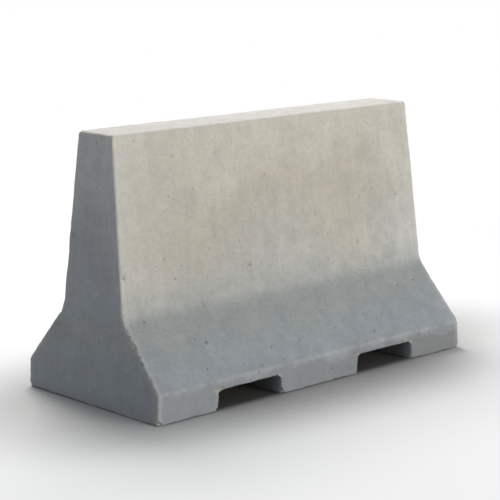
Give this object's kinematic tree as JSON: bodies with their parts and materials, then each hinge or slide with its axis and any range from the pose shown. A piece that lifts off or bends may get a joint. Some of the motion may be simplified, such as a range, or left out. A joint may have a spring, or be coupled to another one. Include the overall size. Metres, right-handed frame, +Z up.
{
  "type": "precast concrete road barrier block",
  "caption": "Solid concrete road barrier with a flared base, a rounded bend, a narrow upright upper part, leaning end faces and fork pockets through the base.",
  "frame": {"origin": "centre of the underside, on the ground", "axes": "+X along the barrier (its longest extent), +Y across it (its shortest extent), +Z up"},
  "size_m": [1.31, 0.6, 0.8],
  "materials": {
    "concrete": "matte cast concrete, form-smooth sides and a trowelled top"
  },
  "bodies": {
    "root": {"barrier_block": "concrete"}
  },
  "joints": []
}
